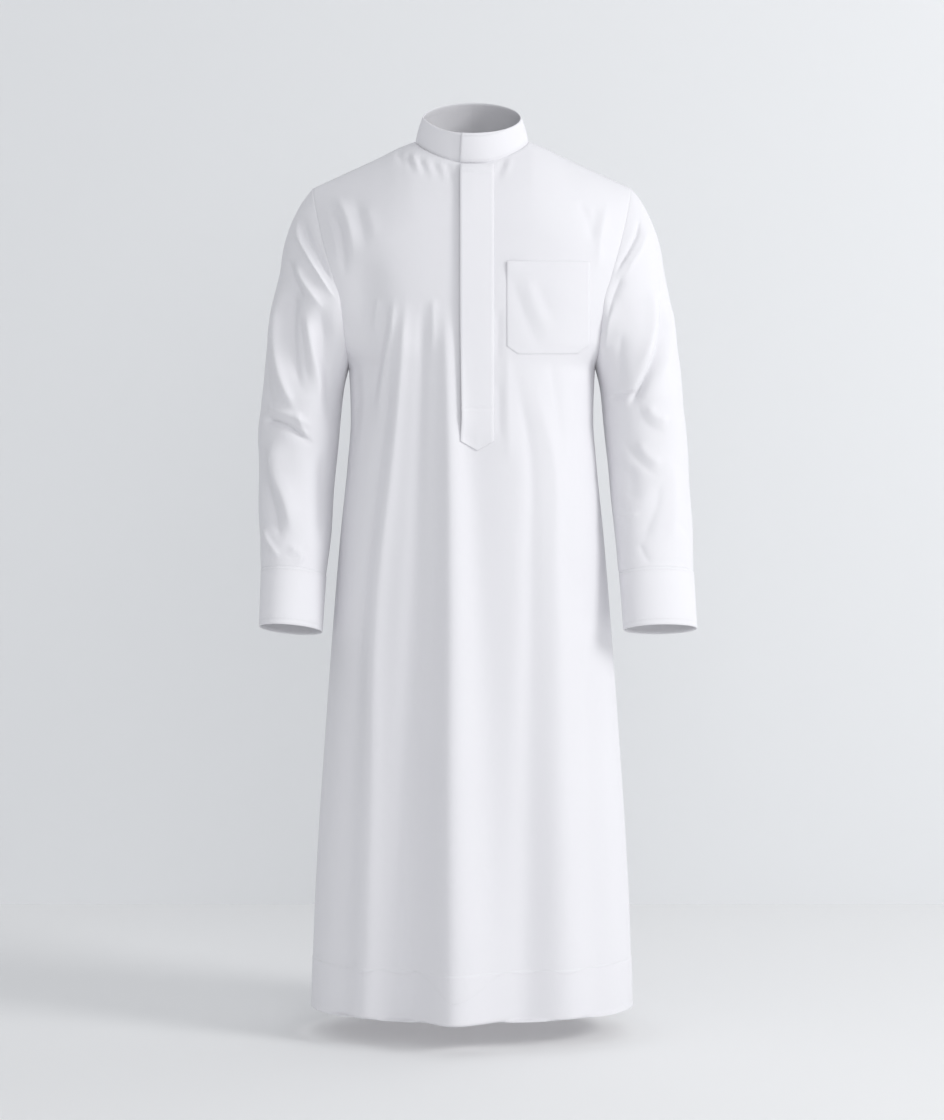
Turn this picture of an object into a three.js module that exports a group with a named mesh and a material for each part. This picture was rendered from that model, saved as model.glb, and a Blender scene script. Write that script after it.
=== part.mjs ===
// A white full-length thobe with long sleeves, hollow, hanging as it does when worn.
// Millimetres, +Z up. The front faces -Y and +X is the wearer's left. The origin is
// the middle of the neck at shoulder height, where the wearer's shoulders carry it.
import * as THREE from 'three';

// ---- cloth ----
const CLOTH = 1.5; // wall of the panels and sleeves
const STIFF_CLOTH = 2.2; // wall of the collar and cuffs, two layers with interlining
const SEAM_GAP = 0.3; // space between neighbouring pieces at a seam
const PATCH_LIFT = 1.3; // space between a panel and a piece sewn onto it

// ---- body, from hem to shoulder: [height, value] ----
const HEM_Z = -1323;
const ARMPIT_Z = -340;
const HALF_WIDTH = [[HEM_Z, 249], [-1160, 243], [-849, 222.5], [-602, 202.5], [-480, 190], [-418, 185.5],
  [ARMPIT_Z, 188], [-296, 221], [-235, 245], [-148, 258], [-60, 263], [60, 263]];
const FRONT_DEPTH = [[HEM_Z, 136], [-1000, 129], [-700, 121], [-440, 116], [-235, 124], [-120, 112],
  [0, 100], [60, 96]];
const BACK_DEPTH = [[HEM_Z, 168], [-1000, 150], [-700, 128], [-440, 106], [-220, 122], [-100, 114],
  [0, 102], [60, 98]];
const ROUNDNESS = 2.4; // 2 is an ellipse, more is squarer

// ---- shoulders: the height of the seam line at a distance from the middle ----
const SHOULDER_HALF = 242;
const SHOULDER_Z = -66;
const SHOULDER_LINE = [[86, 5], [110, -4], [140, -19], [201, -47], [SHOULDER_HALF, SHOULDER_Z], [290, -91]];
const FRONT_TOP = [[0, 13], [45, 10], ...SHOULDER_LINE];
const BACK_TOP = [[0, 48], [42, 37], [68, 21], ...SHOULDER_LINE];
const FRONT_ROLL = 120; // radius that turns the front over the shoulder
const BACK_ROLL = 110;
const FRONT_SLOPE = 20; // extra fall from the shoulder seam to the chest

// ---- armhole: its distance from the middle at each height ----
const ARMHOLE = [[ARMPIT_Z, 188], [-296, 193], [-235, 199], [-205, 208], [-143, 226], [-84, 239.5],
  [SHOULDER_Z, SHOULDER_HALF], [60, SHOULDER_HALF]];

// ---- collar ----
const NECK_HALF_WIDTH = 86;
const NECK_HALF_DEPTH = 66;
const COLLAR_TOP = { halfWidth: 75, halfDepth: 55, y: -13, z: 40, tilt: 0.48 };
const COLLAR_OVERLAP = [24, -17]; // x of the under end and of the upper end
const COLLAR_STEP = 3.4; // how far the upper end stands off the under end
const COLLAR_STEP_TURN = 1.55 * Math.PI; // turn round the neck at which it starts to stand off
const COLLAR_STEP_SPAN = 0.3 * Math.PI;

// ---- sleeves, along the arm: centre, half sizes across and front to back ----
const SLEEVE = [
  { x: 259.5, y: 4, z: -380, a: 62.5, b: 76 },
  { x: 265.5, y: 6, z: -435, a: 62, b: 70 },
  { x: 270, y: 1, z: -500, a: 61, b: 65 },
  { x: 274, y: -13, z: -567, a: 59, b: 60 },
  { x: 277, y: -31, z: -637, a: 54.5, b: 54 },
];
const CUFF_TOP = { x: 278, y: -35, z: -651, a: 53.5, b: 52 };
const CUFF_END = { x: 282.5, y: -56, z: -734, a: 52, b: 48 };
const CUFF_TURN = { left: 2, right: -7 }; // how much wider or narrower a cuff's oval is from the front
const CUFF_SWING = { left: 4, right: -7 }; // how far outward the forearm swings
const CUFF_LEAN = { left: 0.34, right: 0.24 }; // how far the front of a cuff leans to the wearer's right

// ---- sleeve head: how a point leaves the armhole and meets the arm ----
const LEAVE_OUT = [0.25, 0.74]; // outward part of its first direction, at the armpit and at the top
const LEAVE_DOWN = [0.95, 0.67]; // downward part
const LEAVE_FORWARD = 0.3; // forward part, at the front of the armhole
const LEAVE_REACH = 0.2; // share of the way over which it keeps that direction
const MEET_IN = 0.12; // lean of its last direction towards the body
const MEET_REACH = 0.46;

// ---- placket and pocket, on the front ----
const PLACKET = { x: 7.5, halfWidth: 24.7, top: -36, bottom: -446, point: 14 };
const POCKET = { left: 52, right: 176, top: -178, bottom: -316, chamfer: 17, chamferRise: 12 };

// ---- the largest folds of the skirt: troughs (negative) and ridges ----
const FRONT_FOLDS = [
  { top: [-32, -430], end: [-25, HEM_Z], width: [26, 40], rise: [1, 48] },
  { top: [-64, -250], end: [-108, HEM_Z], width: [12, 32], rise: [-3, -9] },
  { top: [-100, -260], end: [-163, HEM_Z], width: [12, 32], rise: [2, 9] },
  { top: [-158, -420], end: [-200, HEM_Z], width: [14, 26], rise: [-2, -6] },
  { top: [76, -330], end: [82, HEM_Z], width: [14, 32], rise: [-2, -8] },
  { top: [106, -400], end: [142, HEM_Z], width: [14, 32], rise: [2, 8] },
];
const BACK_FOLDS = [
  { top: [-60, -300], end: [-84, HEM_Z], width: [20, 38], rise: [-3, -18] },
  { top: [0, -330], end: [4, HEM_Z], width: [26, 44], rise: [2, 12] },
  { top: [64, -320], end: [92, HEM_Z], width: [18, 36], rise: [-3, -16] },
  { top: [-132, -400], end: [-166, HEM_Z], width: [18, 34], rise: [2, 9] },
  { top: [138, -420], end: [172, HEM_Z], width: [20, 34], rise: [2, 8] },
];

// ---- mesh counts ----
const HALF_COLUMNS = 16; // columns from the middle of a panel to its side seam
const NECK_COLUMNS = 6; // of those, how many end at the neck
const SKIRT_ROWS = 15;
const CHEST_ROWS = 9;
const HEAD_ROWS = 6;
const PLACKET_ROWS = 18;
const POCKET_COLUMNS = 5; // between its two cut-off corners
const POCKET_ROWS = 6;

// Value at z of a smooth line through [z, value] stations, in either order of z.
function along(stations, z) {
  const list = stations[0][0] < stations[stations.length - 1][0] ? stations : [...stations].reverse();
  if (z <= list[0][0]) return list[0][1];
  const last = list.length - 1;
  if (z >= list[last][0]) return list[last][1];
  const i = list.findIndex(([at]) => at > z) - 1;
  const secant = (k) => (list[k + 1][1] - list[k][1]) / (list[k + 1][0] - list[k][0]);
  const tangent = (k) => {
    if (k === 0) return secant(0);
    if (k === last) return secant(last - 1);
    const before = secant(k - 1);
    const after = secant(k);
    return before * after <= 0 ? 0 : (2 * before * after) / (before + after);
  };
  const length = list[i + 1][0] - list[i][0];
  const t = (z - list[i][0]) / length;
  const keep = (1 + 2 * t) * (1 - t) ** 2;
  return keep * list[i][1] + (1 - keep) * list[i + 1][1]
    + t * (1 - t) ** 2 * length * tangent(i) - t * t * (1 - t) * length * tangent(i + 1);
}

function smooth(t) {
  const k = Math.min(1, Math.max(0, t));
  return k * k * (3 - 2 * k);
}

const lerp = (a, b, t) => a + (b - a) * t;

// The two sides of the body: sign is the direction of its outside along Y.
const FRONT = {
  sign: -1, depth: FRONT_DEPTH, top: FRONT_TOP, roll: FRONT_ROLL, slope: FRONT_SLOPE, folds: FRONT_FOLDS,
};
const BACK = {
  sign: 1, depth: BACK_DEPTH, top: BACK_TOP, roll: BACK_ROLL, slope: 0, folds: BACK_FOLDS,
};

// How much of a side's full depth it has at a drop below the shoulder line.
function rollShare(side, drop) {
  const { roll, slope } = side;
  if (drop <= 0) return 0;
  if (drop >= roll + slope) return 1;
  const rest = roll - drop;
  const inside = slope * slope * rest * rest - (roll * roll + slope * slope) * (rest * rest - roll * roll);
  return (-slope * rest + Math.sqrt(Math.max(0, inside))) / (roll * roll + slope * slope);
}

// Full depth of a side at x and z, before the shoulder turns it over.
function fullDepth(side, x, z) {
  const across = Math.max(0, 1 - (Math.abs(x) / along(HALF_WIDTH, z)) ** ROUNDNESS);
  return along(side.depth, z) * Math.sqrt(across);
}

// Depth of the unfolded cloth at x and z.
function plainDepth(side, x, z) {
  return fullDepth(side, x, z) * rollShare(side, along(side.top, Math.abs(x)) - z);
}

// Height of the unfolded cloth over a point of the shoulders, used at the neck.
function heightAt(side, x, depth) {
  let z = 0;
  for (let i = 0; i < 8; i += 1) {
    const share = Math.min(1, depth / fullDepth(side, x, z));
    z = along(side.top, Math.abs(x)) - side.roll * (1 - Math.sqrt(1 - share * share)) - side.slope * share;
  }
  return z;
}

// Outward rise of the folds at x and z. Each fold widens and deepens from its top down.
function foldRise(side, x, z) {
  let rise = 0;
  for (const fold of side.folds) {
    const t = (fold.top[1] - z) / (fold.top[1] - fold.end[1]);
    if (t > 0) {
      const middle = lerp(fold.top[0], fold.end[0], t);
      const width = lerp(fold.width[0], fold.width[1], t);
      const height = lerp(fold.rise[0], fold.rise[1], t) * smooth(t * 8);
      rise += height * Math.exp(-(((x - middle) / width) ** 2));
    }
  }
  return rise;
}

// A point of the folded cloth of one side.
function bodyPoint(side, x, z) {
  const step = 1;
  const slope = (plainDepth(side, x + step, z) - plainDepth(side, x - step, z)) / (2 * step);
  const normal = new THREE.Vector2(-slope, 1).normalize();
  const rise = foldRise(side, x, z);
  const depth = plainDepth(side, x, z) + normal.y * rise;
  return new THREE.Vector3(x + normal.x * rise, side.sign * depth, z);
}

// Share of the half width of a column, at the armpit and below, and at the top edge.
function columnShares(column) {
  const angle = (column / HALF_COLUMNS) * (Math.PI / 2);
  const below = Math.sign(column) * Math.abs(Math.sin(angle)) ** (2 / ROUNDNESS);
  const count = Math.abs(column);
  let top = NECK_HALF_WIDTH * Math.sin((Math.PI / 2) * Math.min(1, count / NECK_COLUMNS));
  if (count > NECK_COLUMNS) {
    top = lerp(NECK_HALF_WIDTH, SHOULDER_HALF, (count - NECK_COLUMNS) / (HALF_COLUMNS - NECK_COLUMNS));
  }
  return { below, top: (Math.sign(column) * top) / SHOULDER_HALF };
}

// Height where a column ends: the neck edge, or the shoulder seam beyond it.
function columnTop(side, column) {
  const x = columnShares(column).top * SHOULDER_HALF;
  if (Math.abs(column) >= NECK_COLUMNS) return along(SHOULDER_LINE, Math.abs(x));
  const turn = (Math.abs(column) / NECK_COLUMNS) * (Math.PI / 2);
  return heightAt(side, x, NECK_HALF_DEPTH * Math.cos(turn));
}

// Rows of a front or back panel, from the hem to the shoulder and neck.
function panelRows(side) {
  const columns = Array.from({ length: 2 * HALF_COLUMNS + 1 }, (_, i) => i - HALF_COLUMNS);
  const rows = [];
  for (let i = 0; i < SKIRT_ROWS; i += 1) {
    const z = lerp(HEM_Z, ARMPIT_Z, i / SKIRT_ROWS);
    rows.push(columns.map((column) => sidePoint(side, columnShares(column).below, z)));
  }
  for (let i = 0; i <= CHEST_ROWS; i += 1) {
    const t = i / CHEST_ROWS;
    rows.push(columns.map((column) => {
      const shares = columnShares(column);
      const z = lerp(ARMPIT_Z, columnTop(side, column), t);
      const x = along(ARMHOLE, z) * lerp(shares.below, shares.top, smooth(t));
      return bodyPoint(side, x, z);
    }));
  }
  return rows;
}

// A point below the armpit. On the side seam the fold stands straight out.
function sidePoint(side, share, z) {
  const halfWidth = along(HALF_WIDTH, z);
  if (Math.abs(share) < 1) return bodyPoint(side, share * halfWidth, z);
  return new THREE.Vector3(share * halfWidth, 0, z);
}

// Outward unit normals of a grid of points, the outside being on the given side.
function gridNormals(rows, flip) {
  const last = rows.length - 1;
  const end = rows[0].length - 1;
  return rows.map((row, i) => row.map((point, j) => {
    const up = rows[Math.min(last, i + 1)][j].clone().sub(rows[Math.max(0, i - 1)][j]);
    const ring = row[0].distanceTo(row[end]) < 1e-6;
    const next = j === end && ring ? row[1] : row[Math.min(end, j + 1)];
    const before = j === 0 && ring ? row[end - 1] : row[Math.max(0, j - 1)];
    const across = next.clone().sub(before);
    return across.cross(up).normalize().multiplyScalar(flip ? -1 : 1);
  }));
}

// Moves the points of one edge towards the next ones, to leave half a seam's gap.
function insetEdge(edge, next, distance) {
  edge.forEach((point, i) => {
    const pull = next[i].clone().sub(point);
    point.addScaledVector(pull.normalize(), distance);
  });
}

// A closed wall between two grids of points of the same size. A ring grid repeats
// its first column as its last, and that seam is welded. A mirrored grid runs the
// other way round, so its triangles are turned over.
function wall(outer, inner, ring, mirrored = false) {
  const rows = outer.length;
  const columns = outer[0].length - (ring ? 1 : 0);
  const positions = [];
  [outer, inner].forEach((grid) => grid.forEach((row) => {
    row.slice(0, columns).forEach((point) => positions.push(point.x, point.y, point.z));
  }));
  const at = (layer, i, j) => layer * rows * columns + i * columns + (j % columns);
  const indices = [];
  const quad = (a, b, c, d) => {
    if (mirrored) indices.push(a, c, b, a, d, c);
    else indices.push(a, b, c, a, c, d);
  };
  const spans = ring ? columns : columns - 1;
  for (let j = 0; j < spans; j += 1) {
    for (let i = 0; i < rows - 1; i += 1) {
      quad(at(0, i, j), at(0, i, j + 1), at(0, i + 1, j + 1), at(0, i + 1, j));
      quad(at(1, i, j), at(1, i + 1, j), at(1, i + 1, j + 1), at(1, i, j + 1));
    }
    quad(at(1, 0, j), at(1, 0, j + 1), at(0, 0, j + 1), at(0, 0, j));
    quad(at(0, rows - 1, j), at(0, rows - 1, j + 1), at(1, rows - 1, j + 1), at(1, rows - 1, j));
  }
  if (!ring) {
    for (let i = 0; i < rows - 1; i += 1) {
      quad(at(0, i, 0), at(0, i + 1, 0), at(1, i + 1, 0), at(1, i, 0));
      const j = columns - 1;
      quad(at(1, i, j), at(1, i + 1, j), at(0, i + 1, j), at(0, i, j));
    }
  }
  const geometry = new THREE.BufferGeometry();
  geometry.setAttribute('position', new THREE.Float32BufferAttribute(positions, 3));
  geometry.setIndex(indices);
  return geometry;
}

// The grid moved along its normals.
const moved = (rows, normals, distance) => rows.map((row, i) => row.map(
  (point, j) => point.clone().addScaledVector(normals[i][j], distance),
));

const column = (rows, j) => rows.map((row) => row[j]);

// Outer and inner grids of a panel, before its seam gaps. Both panels share the
// inner points of their side and shoulder seams.
function panelGrids(side) {
  const outer = panelRows(side);
  const normals = gridNormals(outer, side.sign > 0);
  const last = outer[0].length - 1;
  outer.forEach((row, i) => {
    if (i <= SKIRT_ROWS) {
      normals[i][0].set(-1, 0, 0);
      normals[i][last].set(1, 0, 0);
    }
  });
  outer[outer.length - 1].forEach((point, j) => {
    if (Math.abs(j - HALF_COLUMNS) >= NECK_COLUMNS) normals[outer.length - 1][j].set(0, 0, 1);
  });
  return { outer, inner: moved(outer, normals, -CLOTH) };
}

// Leaves half a seam's gap on the side seams, armholes, shoulders and neck.
function panelWall(grids, side) {
  const shrunk = [grids.outer, grids.inner].map((grid) => {
    const rows = grid.map((row) => row.map((point) => point.clone()));
    const last = rows[0].length - 1;
    insetEdge(column(rows, 0), column(rows, 1), SEAM_GAP / 2);
    insetEdge(column(rows, last), column(rows, last - 1), SEAM_GAP / 2);
    insetEdge(rows[rows.length - 1], rows[rows.length - 2], SEAM_GAP / 2);
    return side.sign > 0 ? rows.map((row) => [...row].reverse()) : rows;
  });
  return wall(shrunk[0], shrunk[1], false);
}

// The armhole of one side of the body as a ring of points: up the front from the
// armpit, over the shoulder and down the back. hand is +1 for the wearer's left.
function armholeRing(front, back, hand) {
  const j = hand > 0 ? 2 * HALF_COLUMNS : 0;
  const up = column(front, j).slice(SKIRT_ROWS);
  const down = column(back, j).slice(SKIRT_ROWS).reverse();
  return [...up, ...down.slice(1)].map((point) => point.clone());
}

// A ring across the arm, in the order of the armhole ring, square to the arm's axis.
function armRing(place, axis, hand) {
  const count = 2 * CHEST_ROWS;
  const forward = new THREE.Vector3(0, -1, 0);
  forward.addScaledVector(axis, -forward.dot(axis)).normalize();
  const outward = new THREE.Vector3(hand, 0, 0);
  outward.addScaledVector(axis, -outward.dot(axis)).normalize();
  return Array.from({ length: count + 1 }, (_, i) => {
    const turn = (2 * Math.PI * i) / count;
    return new THREE.Vector3(hand * place.x, place.y, place.z)
      .addScaledVector(outward, -place.a * Math.cos(turn))
      .addScaledVector(forward, place.b * Math.sin(turn))
      .add(new THREE.Vector3(-place.lean * place.b * Math.sin(turn), 0, 0));
  });
}

// Direction of the arm at each place, down the sleeve.
function armAxes(places, hand) {
  const points = places.map((place) => new THREE.Vector3(hand * place.x, place.y, place.z));
  return points.map((point, i) => {
    const next = points[Math.min(points.length - 1, i + 1)];
    return next.clone().sub(points[Math.max(0, i - 1)]).normalize();
  });
}

// Rings of the sleeve head: each point leaves the armhole outward and curves down.
function sleeveHead(ring, below, hand) {
  const rows = [];
  for (let i = 0; i < HEAD_ROWS; i += 1) {
    const t = i / HEAD_ROWS;
    rows.push(ring.map((start, j) => {
      const turn = (2 * Math.PI * j) / (2 * CHEST_ROWS);
      const high = (1 - Math.cos(turn)) / 2;
      const end = below[j];
      const length = start.distanceTo(end);
      const leave = new THREE.Vector3(
        hand * lerp(LEAVE_OUT[0], LEAVE_OUT[1], high),
        -LEAVE_FORWARD * Math.sin(turn),
        -lerp(LEAVE_DOWN[0], LEAVE_DOWN[1], high),
      );
      const meet = new THREE.Vector3(-hand * MEET_IN, 0, 1);
      const first = start.clone().addScaledVector(leave.normalize(), length * LEAVE_REACH);
      const second = end.clone().addScaledVector(meet.normalize(), length * MEET_REACH);
      return new THREE.CubicBezierCurve3(start, first, second, end).getPoint(t);
    }));
  }
  return rows;
}

// Places of one arm, with its own swing and turn of the cuff.
function armPlaces(name) {
  const full = [...SLEEVE, CUFF_TOP, CUFF_END];
  return full.map((place) => {
    const share = smooth((SLEEVE[0].z - place.z) / (SLEEVE[0].z - CUFF_END.z));
    return {
      ...place,
      x: place.x + CUFF_SWING[name] * share,
      a: place.a + CUFF_TURN[name] * share,
      b: place.b - CUFF_TURN[name] * share,
      lean: CUFF_LEAN[name] * share,
    };
  });
}

// Sleeve and cuff of one side as closed walls.
function armWalls(name, front, back) {
  const hand = name === 'left' ? 1 : -1;
  const places = armPlaces(name);
  const axes = armAxes(places, hand);
  const rings = places.map((place, i) => armRing(place, axes[i], hand));
  const outer = [...sleeveHead(armholeRing(front.outer, back.outer, hand), rings[0], hand), ...rings];
  const inner = moved(outer, gridNormals(outer, hand > 0), -CLOTH);
  inner[0] = armholeRing(front.inner, back.inner, hand);
  const cuffRow = outer.length - 2;
  const piece = (from, to, thickness) => {
    const out = outer.slice(from, to + 1).map((row) => row.map((point) => point.clone()));
    const turned = gridNormals(outer, hand > 0).slice(from, to + 1);
    const into = from === 0 ? inner.slice(from, to + 1).map((row) => row.map((point) => point.clone()))
      : moved(out, turned, -thickness);
    [out, into].forEach((grid) => {
      insetEdge(grid[0], grid[1], SEAM_GAP / 2);
      if (from === 0) insetEdge(grid[grid.length - 1], grid[grid.length - 2], SEAM_GAP / 2);
    });
    return wall(out, into, true, hand > 0);
  };
  return { sleeve: piece(0, cuffRow, CLOTH), cuff: piece(cuffRow, cuffRow + 1, STIFF_CLOTH) };
}

// The band collar: a strip that stands on the neck edge, from its under end at the
// front, round the wearer's right, back and left, to its upper end over the front.
function collarWall() {
  const count = 4 * NECK_COLUMNS;
  const turnOf = (x) => Math.asin(x / NECK_HALF_WIDTH);
  const start = turnOf(COLLAR_OVERLAP[0]);
  const finish = turnOf(COLLAR_OVERLAP[1]) - 2 * Math.PI;
  const turns = [start];
  for (let i = Math.floor((start / (2 * Math.PI)) * count); (2 * Math.PI * i) / count > finish; i -= 1) {
    turns.push((2 * Math.PI * i) / count);
  }
  turns.push(finish);
  const levels = [0, 0.5, 1];
  const stand = turns.map((turn) => {
    const lift = COLLAR_STEP * smooth((-turn - COLLAR_STEP_TURN) / COLLAR_STEP_SPAN);
    const x = Math.sin(turn);
    const y = -Math.cos(turn);
    const side = y < 0 ? FRONT : BACK;
    const base = new THREE.Vector3((NECK_HALF_WIDTH + lift) * x, (NECK_HALF_DEPTH + lift) * y, 0);
    base.z = heightAt(side, NECK_HALF_WIDTH * x, Math.abs(NECK_HALF_DEPTH * y)) + 3 * SEAM_GAP;
    const top = new THREE.Vector3(
      (COLLAR_TOP.halfWidth + lift) * x,
      COLLAR_TOP.y + (COLLAR_TOP.halfDepth + lift) * y,
      COLLAR_TOP.z + COLLAR_TOP.tilt * COLLAR_TOP.halfDepth * y,
    );
    return { base, top, inward: new THREE.Vector3(-x, -y, 0).normalize() };
  });
  const grid = (distance) => levels.map((level) => stand.map(
    ({ base, top, inward }) => base.clone().lerp(top, level).addScaledVector(inward, distance),
  ));
  const facing = (rows) => rows.map((row) => [...row].reverse());
  return wall(facing(grid(0)), facing(grid(STIFF_CLOTH)), false);
}

// A piece sewn onto the front panel: columns of x and rows of z give its points.
function patchWall(rows) {
  const at = (distance) => rows.map((row) => row.map(([x, z]) => {
    const step = 2;
    const point = bodyPoint(FRONT, x, z);
    const across = bodyPoint(FRONT, x + step, z).sub(bodyPoint(FRONT, x - step, z));
    const up = bodyPoint(FRONT, x, z + step).sub(bodyPoint(FRONT, x, z - step));
    return point.addScaledVector(across.cross(up).normalize(), distance);
  }));
  return wall(at(PATCH_LIFT + CLOTH), at(PATCH_LIFT), false);
}

function placketWall() {
  const { x, halfWidth, top, bottom, point } = PLACKET;
  const rows = Array.from({ length: PLACKET_ROWS + 1 }, (_, i) => {
    const z = lerp(bottom, top, i / PLACKET_ROWS);
    return [-1, 0, 1].map((side) => [x + side * halfWidth, i === 0 && side === 0 ? z - point : z]);
  });
  return patchWall(rows);
}

function pocketWall() {
  const { left, right, top, bottom, chamfer, chamferRise } = POCKET;
  const columns = [left];
  for (let i = 0; i <= POCKET_COLUMNS; i += 1) {
    columns.push(lerp(left + chamfer, right - chamfer, i / POCKET_COLUMNS));
  }
  columns.push(right);
  const rows = Array.from({ length: POCKET_ROWS + 1 }, (_, i) => {
    const z = lerp(bottom, top, i / POCKET_ROWS);
    return columns.map((x) => [x, i === 0 && (x === left || x === right) ? z + chamferRise : z]);
  });
  return patchWall(rows);
}

// ---- the garment ----
const white = { color: 0xf3f3f5, roughness: 0.85, metalness: 0 };
const thobe = new THREE.Group();

function addPiece(name, geometry) {
  const mesh = new THREE.Mesh(geometry, new THREE.MeshStandardMaterial(white));
  mesh.name = name;
  thobe.add(mesh);
}

const frontGrids = panelGrids(FRONT);
const backGrids = panelGrids(BACK);
addPiece('front_panel', panelWall(frontGrids, FRONT));
addPiece('back_panel', panelWall(backGrids, BACK));
for (const name of ['left', 'right']) {
  const { sleeve, cuff } = armWalls(name, frontGrids, backGrids);
  addPiece(`sleeve_${name}`, sleeve);
  addPiece(`cuff_${name}`, cuff);
}
addPiece('collar', collarWall());
addPiece('placket', placketWall());
addPiece('chest_pocket', pocketWall());

export default thobe;
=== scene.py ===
# The looks of a white full-length thobe that hangs hollow, as it does when worn.
# Each cloth piece is a thin shell on the form of its CAD solid, with its creases
# listed one by one. Lengths are millimetres until a mesh is made, which is in metres.
# The front faces -Y and +X is the wearer's left.
import math

import bmesh
import bpy
import numpy as np
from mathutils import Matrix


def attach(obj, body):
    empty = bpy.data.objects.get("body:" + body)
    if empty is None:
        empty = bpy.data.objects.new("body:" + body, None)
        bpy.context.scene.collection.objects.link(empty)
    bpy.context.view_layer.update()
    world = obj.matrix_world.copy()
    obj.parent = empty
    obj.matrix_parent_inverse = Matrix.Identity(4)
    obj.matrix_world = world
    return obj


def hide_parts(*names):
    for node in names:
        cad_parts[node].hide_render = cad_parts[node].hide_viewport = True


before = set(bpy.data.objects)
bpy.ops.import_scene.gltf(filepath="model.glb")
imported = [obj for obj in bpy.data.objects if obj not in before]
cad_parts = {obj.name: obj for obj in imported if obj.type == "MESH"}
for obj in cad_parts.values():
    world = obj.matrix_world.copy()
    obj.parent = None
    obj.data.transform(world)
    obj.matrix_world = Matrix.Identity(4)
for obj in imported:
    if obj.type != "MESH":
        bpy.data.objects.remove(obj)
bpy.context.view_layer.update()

MM = 0.001

# ---- body: [height, value] from the hem to the shoulders, as on the CAD solids ----
HEM_Z = -1323
ARMPIT_Z = -340
HALF_WIDTH = [[HEM_Z, 249], [-1160, 243], [-849, 222.5], [-602, 202.5], [-480, 190], [-418, 185.5],
              [ARMPIT_Z, 188], [-296, 221], [-235, 245], [-148, 258], [-60, 263], [60, 263]]
FRONT_DEPTH = [[HEM_Z, 136], [-1000, 129], [-700, 121], [-440, 116], [-235, 124], [-120, 112],
               [0, 100], [60, 96]]
BACK_DEPTH = [[HEM_Z, 168], [-1000, 150], [-700, 128], [-440, 106], [-220, 122], [-100, 114],
              [0, 102], [60, 98]]
ROUNDNESS = 2.4
SHOULDER_HALF = 242
SHOULDER_Z = -66
SHOULDER_LINE = [[86, 5], [110, -4], [140, -19], [201, -47], [SHOULDER_HALF, SHOULDER_Z], [290, -91]]
FRONT_TOP = [[0, 13], [45, 10], *SHOULDER_LINE]
BACK_TOP = [[0, 48], [42, 37], [68, 21], *SHOULDER_LINE]
ARMHOLE = [[ARMPIT_Z, 188], [-296, 193], [-235, 199], [-205, 208], [-143, 226], [-84, 239.5],
           [SHOULDER_Z, SHOULDER_HALF], [60, SHOULDER_HALF]]
NECK_HALF_WIDTH = 86
NECK_HALF_DEPTH = 66
HEM_DEPTH = 76
HEM_RISE = 0.7  # how far the doubled cloth of the hem stands proud
STEEPEST = 4  # the most that the plain form leans when its outward directions are worked out
SEAM_SHARE = 0.05  # the share of the half width at a side seam over which the folds fade

# ---- sleeve: centre, half size across and half size front to back, down the arm ----
ARM = [(259.5, 4, -380, 62.5, 76), (265.5, 6, -435, 62, 70), (270, 1, -500, 61, 65),
       (274, -13, -567, 59, 60), (277, -31, -637, 54.5, 54), (278, -35, -651, 53.5, 52),
       (282.5, -56, -734, 52, 48)]
CUFF_TURN = {"left": 2, "right": -7}
CUFF_SWING = {"left": 4, "right": -7}
CUFF_LEAN = {"left": 0.34, "right": 0.24}  # how far the front of a cuff leans to the wearer's right

# ---- thickness of the cloth, and how far a rim bulges past its edge as a share of half of it ----
CLOTH = 0.9
STIFF_CLOTH = 2.0
PLACKET_CLOTH = 1.5
POCKET_CLOTH = 0.8
RIM_BULGE = 0.9

# ---- mesh counts ----
HALF_COLUMNS = 76
NECK_COLUMNS = 26
SKIRT_ROWS = 176
CHEST_ROWS = 70
HEAD_ROWS = 96
ARM_ROWS = 124
COLLAR_COLUMNS, COLLAR_ROWS = 220, 16
PLACKET_COLUMNS, PLACKET_POINTS = 15, 260
POCKET_COLUMNS, POCKET_POINTS = 46, 50
STITCHED_ROWS = (-1.6, -0.5, 0.5, 1.6)  # extra rows of points beside the stitching of the hem


def along(stations, at):
    """Value of a smooth line through [position, value] stations."""
    table = np.array(sorted(map(tuple, stations)), float)
    places, values = table[:, 0], table[:, 1]
    secant = np.diff(values) / np.diff(places)
    product = secant[:-1] * secant[1:]
    total = np.where(product > 0, secant[:-1] + secant[1:], 1)
    tangent = np.concatenate([[secant[0]], np.where(product > 0, 2 * product / total, 0), [secant[-1]]])
    at = np.clip(np.asarray(at, float), places[0], places[-1])
    i = np.clip(np.searchsorted(places, at, side="right") - 1, 0, len(places) - 2)
    length = places[i + 1] - places[i]
    t = (at - places[i]) / length
    keep = (1 + 2 * t) * (1 - t) ** 2
    bend = t * (1 - t) ** 2 * tangent[i] - t * t * (1 - t) * tangent[i + 1]
    return keep * values[i] + (1 - keep) * values[i + 1] + length * bend


def smooth(t):
    t = np.clip(t, 0, 1)
    return t * t * (3 - 2 * t)


def lerp(a, b, t):
    return a + (b - a) * t


def unit(vectors):
    return vectors / np.maximum(np.linalg.norm(vectors, axis=-1, keepdims=True), 1e-9)


# ---------------------------------------------------------------- folds

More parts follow.
